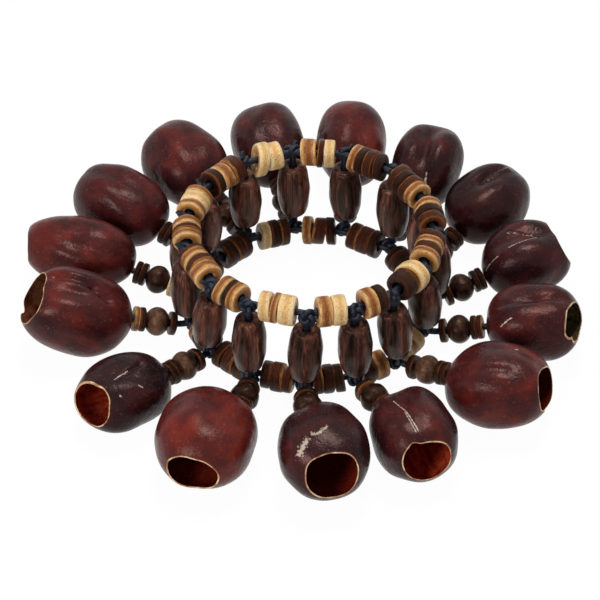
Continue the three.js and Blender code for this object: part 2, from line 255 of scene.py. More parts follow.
def braid(path, side, radius=CORD_R, sides=CORD_SIDES, closed=False):
    """A round cord along a path, with a side that its strands are counted from. Its radius swells where two
    helices of opposite hand cross, and its ends close."""
    ahead = np.roll(path, -1, 0) - np.roll(path, 1, 0)
    if not closed:
        ahead[0] = path[2] - path[0]
        ahead[-1] = path[-1] - path[-3]
    ahead /= np.linalg.norm(ahead, axis=1, keepdims=True)
    first = side - ahead * (ahead * side).sum(1, keepdims=True)
    first /= np.linalg.norm(first, axis=1, keepdims=True)
    second = np.cross(ahead, first)
    steps = np.linalg.norm(np.diff(path, axis=0), axis=1)
    along = 2 * np.pi / BRAID_PITCH * np.concatenate([[0], np.cumsum(steps)])[:, None]
    turn = full_circle(sides)[None, :]
    strands = np.sin(along + BRAID_STRANDS * turn) * np.sin(along - BRAID_STRANDS * turn)
    reach = radius * (1 + BRAID_RELIEF * strands)
    if not closed:
        reach[[0, -1]] = 0
    round_about = np.cos(turn)[..., None] * first[:, None] + np.sin(turn)[..., None] * second[:, None]
    return surface(path[:, None] + reach[..., None] * round_about, closed)


def straight_braid(start, end, radius=CORD_R, sides=CORD_SIDES):
    """A length of cord from one point to another, with both end points doubled so that it closes flat."""
    count = max(LEAST_STEPS, int(np.linalg.norm(end - start) / BRAID_STEP))
    path = start + (end - start) * np.linspace(0, 1, count)[:, None]
    return braid(np.concatenate([path[:1], path, path[-1:]]), crossways(end - start)[0], radius, sides)


def ring_braid(points):
    """A closed cord that runs straight from each station to the next."""
    share = np.linspace(0, 1, RING_STEPS, endpoint=False)[None, :, None]
    path = points[:, None] + (np.roll(points, -1, 0) - points)[:, None] * share
    return braid(path.reshape(-1, 3), up, closed=True)


KNOT_RING_R = 1.12 * MM
KNOT_WIND_R = 0.62 * MM
KNOT_CORD_R = 0.74 * MM
KNOT_HEIGHT = 1.3
KNOT_STEPS = 72
KNOT_SIDES = 8
KNOT_ROUNDS = 2
KNOT_WINDS = 3


def knot(point, way, turn, size=1.0):
    """An overhand knot drawn tight: a trefoil, which winds three times round a ring as it goes twice about
    it. The side of its cord faces away from the ring's middle line."""
    angle = full_circle(KNOT_STEPS)
    spoke = spokes(way, KNOT_ROUNDS * angle + turn)
    rise = np.asarray(way) / np.linalg.norm(way)
    wind = np.cos(KNOT_WINDS * angle)[:, None] * spoke
    wind = wind + KNOT_HEIGHT * np.sin(KNOT_WINDS * angle)[:, None] * rise
    path = point + size * (KNOT_RING_R * spoke + KNOT_WIND_R * wind)
    return braid(path, wind, size * KNOT_CORD_R, KNOT_SIDES, closed=True)


# Waxed cotton braid: near black with a cold tinge, dull, with a slight sheen on the tops of the strands
FIBRE = 0.25 * MM
waxed_braid, tree = blank("waxed_cotton_braid")
where = add(tree, "ShaderNodeTexCoord", output="Object")
fibres = add(tree, "ShaderNodeTexNoise", {"Vector": where, "Scale": 1 / FIBRE, "Detail": 3.0})
black = add(tree, "ShaderNodeMix", {"Factor": fibres, 6: "#04060b", 7: "#1a2233"}, 2, data_type="RGBA")
relief = add(tree, "ShaderNodeBump", {"Height": fibres, "Strength": 0.5, "Distance": 0.12 * MM})
shine = add(tree, "ShaderNodeBsdfPrincipled", {"Base Color": black, "Roughness": 0.45,
                                               "Specular IOR Level": 0.25, "Normal": relief})
add(tree, "ShaderNodeOutputMaterial", {"Surface": shine})

# The upper string's knots sit a little outside the ring and below it, tipped up, and each has a loose end
# that stands out, up and to one side: the heading of the station a quarter round points sideways
KNOT_OUT = 0.8 * MM
KNOT_DROP = 0.5 * MM
KNOT_TIP = 0.4
KNOT_TURN = 0.6
KNOT_END = 3.0 * MM
KNOT_END_R = 0.6 * MM
KNOT_END_WAY = (0.6, 0.6, 0.5)
QUARTER_ROUND = 4
outward = (top_points + foot_points) * level
outward /= np.linalg.norm(outward, axis=1, keepdims=True)
drop_ends = barrel_feet + barrel_ways * (CORD_R / barrel_ways[:, 2:])
top_knots = top_points + KNOT_OUT * outward - KNOT_DROP * up
end_out, end_up, end_aside = KNOT_END_WAY
end_ways = outward * end_out + up * end_up + np.roll(headings, QUARTER_ROUND, 0) * end_aside
knot_ends = top_knots + KNOT_END * end_ways
upper_cord = [ring_braid(top_points)]
upper_cord += [straight_braid(start, end) for start, end in zip(top_points, drop_ends)]
upper_cord += [knot(top_knots[k], outward[k] + KNOT_TIP * up, KNOT_TURN * k) for k in range(STATIONS)]
upper_cord += [straight_braid(start, end, KNOT_END_R, KNOT_SIDES) for start, end in zip(top_knots, knot_ends)]
piece("upper_cord", [(part, 0) for part in upper_cord], [waxed_braid], "ring", "upper_string")

# The lower string's knots, from which the cord goes on to the start of each tail
TAIL_KNOT_OUT = 1.2 * MM
TAIL_KNOT_TURN = 0.9
lower_knots = foot_points + TAIL_KNOT_OUT * headings
lower_cord = [ring_braid(foot_points)]
lower_cord += [straight_braid(start, end) for start, end in zip(foot_points, tail_points)]
lower_cord += [knot(lower_knots[k], headings[k], TAIL_KNOT_TURN * k) for k in range(STATIONS)]
piece("lower_cord", [(part, 0) for part in lower_cord], [waxed_braid], "ring", "lower_string")


# The coconut discs
# Punched from coconut shell, drilled and tumbled with rounded edges. The shell is layered, so that a disc's
# side shows bands of dark fibre between pale edges. They sit close between the knots and lean a little.
DISC_R = 4.0 * MM
DISC_R_SPREAD = (0.93, 0.98)
THICKNESS = {"thin": 1.2 * MM, "plain": 2.1 * MM, "thick": 3.0 * MM, "wide": 2.1 * MM}
HOLE_R = 1.5 * MM
WIDE_R = 4.4 * MM
WIDE_HOLE_R = 2.1 * MM
WIDE_LEAN = 0.22
MOST_LEAN = 0.14
KNOT_ROOM = 2.3 * MM
DISC_SLACK = 0.12 * MM
MOST_STRETCH = 1.4
DISC_SECTION = 20
DISC_ROUND = 36
DISC_CORNER = 0.4
DISC_OVAL = 0.024
DISC_FIVEFOLD = 0.020
FIVEFOLD_SHIFT = 2.3
ANY_TURN = 6.28
TOP_STACKS = (
    "tan plain, dark thin, tan plain", "cream plain, tan thin, cream thick", "tan thick, cream thick",
    "tan thick, dark plain", "dark thick, cream wide", "tan plain, brown plain, tan plain, brown plain",
    "brown plain, dark plain, tan plain", "tan plain, brown plain, dark plain, brown plain",
    "dark plain, brown plain, dark plain, tan plain", "cream plain, brown thin, tan thick",
    "cream thick, cream wide", "brown thick, tan thick, dark plain", "tan plain, cream thick, tan plain",
    "tan plain, brown thin, tan plain", "brown thin, tan plain, brown plain, tan thick")
FOOT_STACKS = (
    "dark plain, brown thick, dark plain", "dark plain, brown thick, brown plain",
    "brown plain, dark plain, dark plain", "dark thick, tan thick", "cream plain, tan plain, cream thick",
    "dark thick, dark thick", "brown thick, dark thick", "dark thin, brown thin, dark thin",
    "dark plain, brown thick, brown plain", "dark plain, brown thick, tan plain",
    "brown plain, dark plain, cream plain", "dark plain, brown plain, dark thick",
    "dark plain, dark thick, brown plain", "dark plain, dark plain, brown plain",
    "tan plain, dark thin, dark plain")
chance = np.random.default_rng(7)


def rounded(wave):
    """A sine or cosine pressed towards a square wave, which makes a circle a rounded rectangle."""
    return np.sign(wave) * np.abs(wave) ** DISC_CORNER


def coconut_disc(centre, way, thickness, radius, hole, lean=0.0):
    """A ring whose section is a rounded rectangle (a superellipse) carried round the cord, out of round by a
    double and a fivefold wave and sheared by its lean. Also gives each point's place across the thickness and
    between the hole and the rim, and its place in a grain that runs round the disc."""
    wave, lean_way, *grain_start = chance.uniform(0, ANY_TURN, 5)
    section = full_circle(DISC_SECTION)[:, None]
    turn = full_circle(DISC_ROUND)[None, :]
    depth = rounded(np.sin(section)) + 0 * turn
    share = (rounded(np.cos(section)) + 1) / 2 + 0 * turn
    fivefold = np.cos(5 * turn + FIVEFOLD_SHIFT * wave)
    waves = 1 + DISC_OVAL * np.cos(2 * turn + wave) + DISC_FIVEFOLD * fivefold
    reach = hole + (radius * waves - hole) * share
    across = depth * thickness / 2 + lean * reach * np.cos(turn - lean_way)
    grid = centre + reach[..., None] * spokes(way, turn) + across[..., None] * np.asarray(way)
    grain = np.stack([depth, share * np.cos(turn), share * np.sin(turn)], -1) + grain_start
    return surface(grid, True), depth.ravel(), share.ravel(), grain.reshape(-1, 3)


# The grain of a disc is counted by its own size: six bands of fibre, 0.2 mm each in a plain disc, in half its
# thickness, and streaks about 2 mm long round it
BANDS_IN_HALF = 6.0
STREAKS_TO_RIM = 1.8
SPECK = 0.4 * MM


def coconut_shell(tone, side, face):
    """Coconut shell, cut and tumbled: bands of fibre round the side, a redder drilled face, low polish."""
    material, tree = blank(f"coconut_shell_{tone}")
    where = add(tree, "ShaderNodeTexCoord", output="Object")
    across = add(tree, "ShaderNodeAttribute", output="Fac", attribute_name="across")
    share = add(tree, "ShaderNodeAttribute", output="Fac", attribute_name="share")
    grain = add(tree, "ShaderNodeAttribute", output="Vector", attribute_name="grain")
    grain_size = (BANDS_IN_HALF, STREAKS_TO_RIM, STREAKS_TO_RIM)
    drawn = add(tree, "ShaderNodeMapping", {"Vector": grain, "Scale": grain_size})
    streaks = add(tree, "ShaderNodeTexNoise", {"Vector": drawn, "Scale": 1.0, "Detail": 4.0,
                                               "Roughness": 0.7})
    specks = add(tree, "ShaderNodeTexNoise", {"Vector": where, "Scale": 1 / SPECK, "Detail": 2.0})
    wander = add(tree, "ShaderNodeMapRange", {"Value": streaks, "To Min": -0.4, "To Max": 0.4})
    height = add(tree, "ShaderNodeMapRange", {"Value": across, "From Min": -1.0})
    bands = add(tree, "ShaderNodeMath", {0: height, 1: wander}, operation="ADD")
    from_hole = add(tree, "ShaderNodeMath", {0: share, 1: wander}, operation="ADD")
    depth = add(tree, "ShaderNodeMath", {0: across}, operation="ABSOLUTE")
    flat = add(tree, "ShaderNodeMapRange", {"Value": depth, "From Min": 0.90, "From Max": 0.99})
    side_tones = add(tree, "ShaderNodeValToRGB", {"Fac": bands}, stops=side)
    face_tones = add(tree, "ShaderNodeValToRGB", {"Fac": from_hole}, stops=face)
    shell = add(tree, "ShaderNodeMix", {"Factor": flat, 6: side_tones, 7: face_tones}, 2, data_type="RGBA")
    pits = add(tree, "ShaderNodeMapRange", {"Value": specks, "From Min": 0.54, "From Max": 0.70,
                                            "To Max": 0.45})
    colour = add(tree, "ShaderNodeMix", {"Factor": pits, 6: shell, 7: "#28120b"}, 2, data_type="RGBA")
    rough = add(tree, "ShaderNodeMath", {0: specks, 1: 0.6, 2: streaks}, operation="MULTIPLY_ADD")
    relief = add(tree, "ShaderNodeBump", {"Height": rough, "Strength": 1.0, "Distance": 0.5 * MM})
    polish = add(tree, "ShaderNodeBsdfPrincipled", {"Base Color": colour, "Roughness": 0.28,
                                                    "Specular IOR Level": 0.16, "Specular Tint": "#ffd6b4",
                                                    "Normal": relief})
    add(tree, "ShaderNodeOutputMaterial", {"Surface": polish})
    return material


# The colours across a disc's side, from one edge to the other, and over its face, from the hole to the rim
SHELL_TONES = {
    "cream": (("#f8dba6", "#f2cd90", "#dfab6b", "#f3ce92", "#f9e2b6"), ("#8f4f26", "#dda05a", "#f4d297")),
    "tan": (("#ecc486", "#a8683a", "#7d4727", "#c98d50", "#efc98f"), ("#6b3619", "#c68042", "#e6b878")),
    "brown": (("#632f1e", "#30140c", "#522415", "#28110a", "#bb7a43"), ("#3d1a0f", "#70381d", "#b07541")),
    "dark": (("#28100b", "#1a0906", "#39180f", "#160706", "#864d29"), ("#1a0a07", "#2f140d", "#552b19")),
}
disc_tones = list(SHELL_TONES)
shells = [coconut_shell(tone, side, face) for tone, (side, face) in SHELL_TONES.items()]


def threaded(name, discs, others, materials, body, node=None):
    """One object of discs, each given as its tone and its making, and of other surfaces."""
    surfaces = [(made, disc_tones.index(tone)) for tone, (made, *_) in discs] + others
    bare = sum(len(points) for (points, quads), material in others)
    across = np.concatenate([made[1] for tone, made in discs] + [np.zeros(bare)])
    share = np.concatenate([made[2] for tone, made in discs] + [np.zeros(bare)])
    grain = np.concatenate([made[3] for tone, made in discs] + [np.zeros((bare, 3))])
    piece(name, surfaces, materials, body, node, {"across": across, "share": share, "grain": grain})


def disc_stack(name, start, end, stack):
    """The discs of one gap, drawn out in proportion so that they fill the room between its two knots."""
    span = np.linalg.norm(end - start)
    way = (end - start) / span
    discs = [disc.split() for disc in stack.split(", ")]
    widths = np.array([THICKNESS[kind] for tone, kind in discs])
    slack = DISC_SLACK * (len(discs) - 1)
    widths *= min(MOST_STRETCH, (span - 2 * KNOT_ROOM - slack) / widths.sum())
    firsts = (span - widths.sum() - slack) / 2 + np.cumsum(widths + DISC_SLACK) - widths - DISC_SLACK
    made = []
    for (tone, kind), first, width in zip(discs, firsts, widths):
        radius = DISC_R * chance.uniform(*DISC_R_SPREAD)
        hole, lean = HOLE_R, chance.uniform(0.0, MOST_LEAN)
        if kind == "wide":
            radius, hole, lean = WIDE_R, WIDE_HOLE_R, WIDE_LEAN
        made.append((tone, coconut_disc(start + way * (first + width / 2), way, width, radius, hole, lean)))
    threaded(name, made, [], shells, "ring")


for k, number in enumerate(numbers):
    disc_stack(f"upper_discs_{number}", top_points[k], top_points[(k + 1) % STATIONS], TOP_STACKS[k])
    disc_stack(f"lower_discs_{number}", foot_points[k], foot_points[(k + 1) % STATIONS], FOOT_STACKS[k])


# The barrel beads
# Turned from dark palm wood, bored along the grain and left with a low sheen. Pale and reddish fibres run the
# length of each barrel, which turns freely on the cord that passes through it.
BARREL_R = 4.5 * MM
BARREL_END_R = 3.2 * MM
BARREL_FULLNESS = 0.75
BARREL_ROWS = 44
BARREL_ROUND = 40
BARREL_UNEVEN = 0.014
BARREL_SIDES = 3
BARREL_TWIST = 0.9 / MM
BORE_R = 1.25 * MM
BORE_EDGE_R = 1.5 * BORE_R
END_ROUNDING = 0.9 * MM
GRAIN_WIDTH = 0.9 * MM
GRAIN_LENGTH = 14 * MM


def barrel(low, high, foot, way, seed):
    """A lathe round the cord: the swell of the outside is a power of a half sine, quarter circles round off
    the ends, and the bore is straight. A slow threefold wave makes each barrel a little uneven."""
    length = high - low
    heights = length * (1 - np.cos(np.linspace(0, np.pi, BARREL_ROWS))) / 2
    bulge = np.sin(np.pi * heights / length).clip(0) ** BARREL_FULLNESS
    dip = (1 - np.minimum(heights, length - heights) / END_ROUNDING).clip(0, 1)
    outside = BARREL_END_R + (BARREL_R - BARREL_END_R) * bulge - END_ROUNDING * (1 - np.sqrt(1 - dip ** 2))
    heights = np.concatenate([[0], heights, [length, length / 2]])[:, None]
    radii = np.concatenate([[BORE_R], outside, [BORE_R, BORE_R]])[:, None]
    turn = full_circle(BARREL_ROUND)[None, :]
    wave = np.cos(BARREL_SIDES * turn + seed + BARREL_TWIST * heights) * (radii > BORE_EDGE_R)
    reach = radii * (1 + BARREL_UNEVEN * wave)
    grid = foot + (low + heights)[..., None] * np.asarray(way) + reach[..., None] * spokes(way, turn)
    return surface(grid, True)


def palm_wood(name, tones):
    """Palm wood, turned and waxed: near-black vessels and thin tan to red fibres along the trunk."""
    material, tree = blank(name)
    where = add(tree, "ShaderNodeTexCoord", output="Object")
    grain_size = (1 / GRAIN_WIDTH, 1 / GRAIN_WIDTH, 1 / GRAIN_LENGTH)
    drawn = add(tree, "ShaderNodeMapping", {"Vector": where, "Scale": grain_size})
    grain = add(tree, "ShaderNodeTexNoise", {"Vector": drawn, "Scale": 1.0, "Detail": 4.0, "Roughness": 0.65,
                                             "Distortion": 0.9})
    broad = add(tree, "ShaderNodeTexNoise", {"Vector": drawn, "Scale": 0.3, "Detail": 2.0})
    mixed = add(tree, "ShaderNodeMath", {0: broad, 1: 0.8, 2: grain}, operation="MULTIPLY_ADD")
    fibres = add(tree, "ShaderNodeMapRange", {"Value": mixed, "From Min": 0.68, "From Max": 1.18})
    colour = add(tree, "ShaderNodeValToRGB", {"Fac": fibres}, stops=tones)
    relief = add(tree, "ShaderNodeBump", {"Height": grain, "Strength": 0.4, "Distance": 0.3 * MM})
    wax = add(tree, "ShaderNodeBsdfPrincipled", {"Base Color": colour, "Roughness": 0.24,
                                                 "Specular IOR Level": 0.15, "Specular Tint": "#ffd6b4",
                                                 "Normal": relief})
    add(tree, "ShaderNodeOutputMaterial", {"Surface": wax})
    return material


barrel_wood = palm_wood("waxed_palm_wood", ("#17100d", "#33211b", "#50322a", "#744438", "#a06c54"))
for number, foot, way in zip(numbers, barrel_feet, barrel_ways):
    low_corner, high_corner = (np.array(corner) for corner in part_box(f"barrel_bead_{number}"))
    tilt = BARREL_END_R * math.sqrt(max(0.0, 1 - way[2] ** 2))
    low = (low_corner[2] - foot[2] + tilt) / way[2]
    high = (high_corner[2] - foot[2] - tilt) / way[2]
    made = barrel(low, high, foot, way, float(number))
    piece(f"barrel_{number}", [(made, 0)], [barrel_wood], f"barrel_{number}",
          f"barrel_bead_{number}")


# The husks' shapes
# Each seed case is a full oval, longer than it is wide, with a crease along its back. Its size and its lean
# away from the tail are its own, and the tail's cord enters it at the stem.
HUSK_WALL = 1.2 * MM
HUSK_FULLNESS = 2.3
GROOVE_WIDTH = 0.3
SEAT_GAP = 0.35 * MM
STEM_SPREAD = 60
STEM_STEP = 2.0
STEM_ROUND_STEP = 15.0

# One row for each husk, in millimetres and degrees: its length, width and height, how far its middle lies
# beside the tail's line, its turn and rise away from that line, where its mouth is cut, as a share of the
# half length, the turn and rise of the mouth, and the depth of the crease and its place about the husk
HUSK_COLUMNS = ("length", "width", "height", "side", "turn", "rise", "lip", "mouth", "groove", "crease")
HUSK_ROWS = (
    (24, 20.5, 17.5, -1, -6, -4, 0.83, (8, 20), 0, 80),
    (27, 25.5, 21.5, -5, 4, -8, 0.88, (-6, -6), 0.5, 60),
    (26.5, 23, 21.5, 1.5, 4, 0, 0.86, (0, 4), 0.6, 120),
    (25, 21.5, 20.5, -1, -14, -4, 0.86, (-4, 4), 0.8, 100),
    (26.5, 22.5, 21, 0, 18, -6, 0.88, (-6, 8), 0.8, 70),
    (24.5, 20.5, 20, 0, 0, -4, 0.86, (-16, 12), 0.8, 90),
    (22.5, 20, 19.5, 0, -8, -6, 0.84, (6, 16), 1.5, 85),
    (24.5, 20.5, 19.5, 0, -6, -6, 0.87, (6, 0), 1.2, 80),
    (24.5, 19.5, 20.5, 0, 0, -4, 0.87, (-6, 4), 2.0, 90),
    (25, 20, 21, 0, 4, -4, 0.86, (6, 2), 0.6, 110),
    (24, 21, 20.5, 0, 0, -6, 0.86, (-8, 0), 0.8, 70),
    (25.5, 22, 21.5, 0, 0, -4, 0.87, (8, 4), 0.5, 100),
    (26, 20, 20.5, 0, 4, -6, 0.87, (-6, 0), 0.7, 90),
    (30, 18.5, 19, 0, 6, -6, 0.88, (6, -4), 0.9, 60),
    (27.5, 22, 22.5, 0, -4, 0, 0.85, (2, 18), 1.9, 75),
)
husks = [dict(zip(HUSK_COLUMNS, row)) for row in HUSK_ROWS]


def pointing(turn, rise):
    """The turn about up, after the rise about the level cross axis, as a matrix whose first column points."""
    a, b = math.radians(turn), math.radians(rise)
    about_up = np.array([[math.cos(a), -math.sin(a), 0], [math.sin(a), math.cos(a), 0], [0, 0, 1]])
    lift = np.array([[math.cos(b), 0, -math.sin(b)], [0, 1, 0], [math.sin(b), 0, math.cos(b)]])
    return about_up @ lift


def bell(distance, width):
    """A bell curve: one at no distance, and close to nothing at two widths."""
    return np.exp(-(distance / width) ** 2)


def skin_reach(husk, ways):
    """Distance from a husk's middle to its skin: a full oval, less the crease along its back."""
    halves = np.array([husk["length"] / (1 + husk["lip"]), husk["width"] / 2, husk["height"] / 2]) * MM
    oval = (np.abs(ways / halves) ** HUSK_FULLNESS).sum(-1) ** (-1 / HUSK_FULLNESS)
    crease = math.radians(husk["crease"])
    facing = np.maximum(0, ways[..., 1] * math.cos(crease) + ways[..., 2] * math.sin(crease))
    across = ways[..., 2] * math.cos(crease) - ways[..., 1] * math.sin(crease)
    return oval - husk["groove"] * MM * facing * bell(across, GROOVE_WIDTH)


def rays(open_angle, turn):
    """Unit directions at an angle from the first axis, turned about it."""
    spread_out = np.sin(open_angle)
    return np.stack([np.cos(open_angle) + 0 * turn, spread_out * np.cos(turn), spread_out * np.sin(turn)], -1)


def stem_places(husk, edge, wall):
    """How far back the skin, or the wall inside it, stands at places within a distance of the cord's line."""
    open_angle = np.radians(180 - np.arange(0, STEM_SPREAD, STEM_STEP))[:, None]
    look = rays(open_angle, np.radians(np.arange(0, 360, STEM_ROUND_STEP))[None, :])
    skin = look * (skin_reach(husk, look @ pointing(husk["turn"], husk["rise"])) - wall)[..., None]
    beside = np.hypot(skin[..., 1] + husk["side"] * MM, skin[..., 2])
    return -skin[..., 0][beside <= edge]


# The tails
# From each lower knot a short end of the cord carries a dark disc, a turned round bead and two thin discs,
# and goes on through the husk's stem hole to a stopper knot inside, which holds the husk on.
TAIL_DISC_R = 3.3 * MM
TAIL_DISC_SPREAD = (0.95, 1.0)
TAIL_HOLE_R = 0.95 * MM
BEAD_R = 3.9 * MM
BEAD_LENGTH = 6.6 * MM
BEAD_ROWS = 24
BEAD_ROUND = 36
BEAD_FACETS = 7
FACET_DEPTH = 0.018
INNER_DISC = 1.8 * MM
OUTER_DISC = 3.2 * MM
STOPPER_R = 1.9 * MM
STOPPER_GAP = 0.6 * MM
STOPPER_SIZE = 0.75
STOPPER_TURN = 0.7
BROWN_BEADS = (1, 5, 15)
INNER_TONES = {4: "brown", 14: "cream"}
LAST_TONES = {6: "brown", 15: "tan"}
bead_woods = [palm_wood("waxed_dark_bead_wood", ("#160d0b", "#281712", "#3a2119", "#523025")),
              palm_wood("waxed_brown_bead_wood", ("#33211a", "#4a3226", "#5f4232", "#7a5844"))]


def round_bead(centre, way, seed):
    """A ball with a bore: a half ellipse carried round the cord, slightly faceted by the turner's knife."""
    opening = math.asin(TAIL_HOLE_R / BEAD_R)
    angle = np.linspace(opening, np.pi - opening, BEAD_ROWS)[:, None]
    turn = full_circle(BEAD_ROUND)[None, :]
    facets = FACET_DEPTH * np.sin(angle) ** 2 * (1 + np.cos(BEAD_FACETS * turn + seed))
    reach = BEAD_R * np.sin(angle) * (1 - facets)
    along = -BEAD_LENGTH / 2 * np.cos(angle) + 0 * turn
    return surface(centre + along[..., None] * np.asarray(way) + reach[..., None] * spokes(way, turn), True)


bead_middle = CORD_R + INNER_DISC + BEAD_LENGTH / 2
last_disc = bead_middle + BEAD_LENGTH / 2
last_disc_end = last_disc + OUTER_DISC
thin = (OUTER_DISC - DISC_SLACK) / 2
husk_middles = [last_disc_end + SEAT_GAP + stem_places(husk, TAIL_DISC_R, 0).max() for husk in husks]
for k, number in enumerate(numbers):
    start, way = tail_points[k], tail_ways[k]
    rows = ((CORD_R + INNER_DISC / 2, INNER_DISC, INNER_TONES.get(k + 1, "dark")),
            (last_disc + thin / 2, thin, "dark"),
            (last_disc_end - thin / 2, thin, LAST_TONES.get(k + 1, "dark")))
    discs = []
    for middle, width, tone in rows:
        radius = TAIL_DISC_R * chance.uniform(*TAIL_DISC_SPREAD)
        discs.append((tone, coconut_disc(start + way * middle, way, width, radius, TAIL_HOLE_R)))
    inner_wall = husk_middles[k] - stem_places(husks[k], STOPPER_R, HUSK_WALL).min()
    stopper = start + way * (inner_wall + STOPPER_GAP + STOPPER_R)
    wood = len(shells) + int(k + 1 in BROWN_BEADS)
    cord = len(shells) + len(bead_woods)
    others = [(round_bead(start + way * bead_middle, way, float(k)), wood),
              (straight_braid(start, stopper), cord),
              (knot(stopper, way, STOPPER_TURN * k, STOPPER_SIZE), cord)]
    threaded(f"tail_threading_{number}", discs, others, shells + bead_woods + [waxed_braid],
             f"tail_{number}", f"tail_beads_{number}")


# The seed husks
# Whole seed cases, dried, sawn open at the outer end and emptied. The skin is a waxy red-brown to
# purple-brown with pale scratches, the sawn lip is bare and tan, and the hollow is a deep red.
HUSK_MEAN_R = 11 * MM
LIP_WALL = 0.16 * MM
LIP_TAPER = 0.35
LIP_EDGE = 0.004
LIP_HALVINGS = 34
HUSK_ROUND = 200
OUTER_ROWS = 112
RIM_ROWS = 3
INNER_ROWS = 32
REDNESS = (0.0, 1.0, 0.2, 0.4, 0.75, 0.45, 0.25, 0.05, 0.3, 0.75, 0.35, 0.6, 0.5, 0.8, 0.6)
PITH = {6: 1.0, 15: 0.35}
FRESH = {1: 0.8, 4: 0.9}

# The lumps of every skin are two waves, each with its height in millimetres, its changes along the three axes
# for a sine and for a cosine, and how far both shift from husk to husk. The skin keeps room for them.
LUMPS = ((0.4, (3.1, 2.3, 0.0), (0.0, -1.9, 2.7), 1, 2), (0.12, (2.1, 7.3, 0.0), (-3.7, 0.0, 6.1), -3, 1))
LUMP_ROOM = 0.3 * MM

# The waves of a sawn lip: how many go round it, their share of the husk's reach, and their shift from one
# husk to the next
LIP_WAVES = ((3, 0.006, 1), (7, 0.003, 2))

# Where a lip is broken or bulges: the turn about the mouth in degrees, its width in degrees and its depth as
# a share of the husk's reach, where a cut is above nought
LIP_FLAWS = {1: [(0, 45, -0.05)], 2: [(270, 55, 0.06), (285, 9, -0.03)], 4: [(115, 12, 0.04)],
             5: [(265, 14, 0.10)], 6: [(180, 20, 0.03), (215, 8, -0.03)], 15: [(250, 9, 0.12)]}

# Where the saw left a lip thick: the turn about the mouth, its width in degrees and the added wall in
# millimetres
THICK_LIPS = {1: (135, 60, 0.3), 2: (270, 50, 0.22), 6: (180, 120, 0.25)}
EVEN_LIP = (0, 90, 0)

# Cracks, folds and scuffs in the skin, as lines from one direction to another seen from the husk's middle
# (turn and rise in degrees, 0 and 0 being its outer end), each with its width and depth in millimetres and
# how bare it is
MARKS = {
    1: [((80, 82), (21, 58), 0.2, 0.1, 1.0), ((86, 48), (90, 44), 0.2, 0.0, 1.0),
        ((45, 36), (48, 35), 0.2, 0.0, 0.9), ((169, 62), (60, 75), 1.0, 0.8, 0.0)],
    3: [((-35, 42), (-38, 27), 0.8, 0.05, 0.9), ((-16, 54), (-10, 58), 0.4, 0.0, 0.8),
        ((-5, 59), (4, 63), 0.3, 0.0, 0.9), ((-30, 52), (-19, 52), 0.45, 0.0, 0.7)],
    4: [((-145, 57), (-60, 77), 0.16, 0.1, 0.8), ((-60, 77), (-7, 43), 0.16, 0.1, 1.0),
        ((-57, 74), (-11, 42), 0.14, 0.0, 0.8)],
    5: [((43, 56), (42, 54), 0.25, 0.0, 1.0), ((-150, 40), (-60, 60), 1.5, 0.5, 0.0)],
    6: [((-137, 29), (-129, 44), 0.18, 0.0, 1.0), ((-167, 49), (2, 48), 1.4, 0.7, 0.0)],
    7: [((-155, 58), (-19, 68), 0.15, 0.05, 1.0), ((135, 60), (-10, 60), 0.3, 0.8, 0.7),
        ((-168, 10), (-161, 37), 0.16, 0.05, 0.9)],
    8: [((106, 73), (22, 44), 1.2, 1.2, 0.0), ((50, 80), (5, 42), 1.2, -0.8, 0.0)],
    9: [((-159, 38), (-161, 25), 0.25, 0.2, 1.0), ((17, 46), (-159, 41), 2.2, 1.0, 0.0)],
    15: [((-15, 49), (180, 75), 1.1, 1.0, 0.0), ((180, 75), (159, 48), 1.1, 1.0, 0.0)],
}
MARK_SLOTS = 4
FAR_AWAY = 9.0


def marks_at(marks, look):
    """The depth cut by a husk's marks at each direction, as bell curves of the distance to each line, and for
    each mark the distance across its line and beyond its ends, in its own widths, with its bareness."""
    depth = np.zeros(look.shape[:2])
    lines = np.full((MARK_SLOTS, *look.shape[:2], 3), (FAR_AWAY, FAR_AWAY, 0.0))
    for slot, (start, end, width, cut, bare) in enumerate(marks):
        first, last = pointing(*start)[:, 0], pointing(*end)[:, 0]
        square = np.cross(first, last) / np.linalg.norm(np.cross(first, last))
        span = np.linalg.norm(last - first)
        middle = (first + last) / np.linalg.norm(first + last)
        widths = HUSK_MEAN_R / MM / width
        behind = np.where(look @ middle > 0, 0.0, FAR_AWAY)
        across = look @ square * widths
        beyond = (np.abs((look - middle) @ (last - first)) / span - span / 2) * widths + behind
        lines[slot] = np.stack([across, beyond, np.full_like(across, bare)], -1)
        depth += cut * MM * bell(across, 1) * bell(np.maximum(beyond, 0), 1)
    return depth, lines


def lumps_at(look, seed):
    """How far the skin's slow and quick waves, each a sine times a cosine, raise it at each direction."""
    lumps = 0.0
    for height, rise, fall, rise_shift, fall_shift in LUMPS:
        wave = np.sin(look @ rise + rise_shift * seed) * np.cos(look @ fall + fall_shift * seed)
        lumps = lumps + height * MM * wave
    return lumps


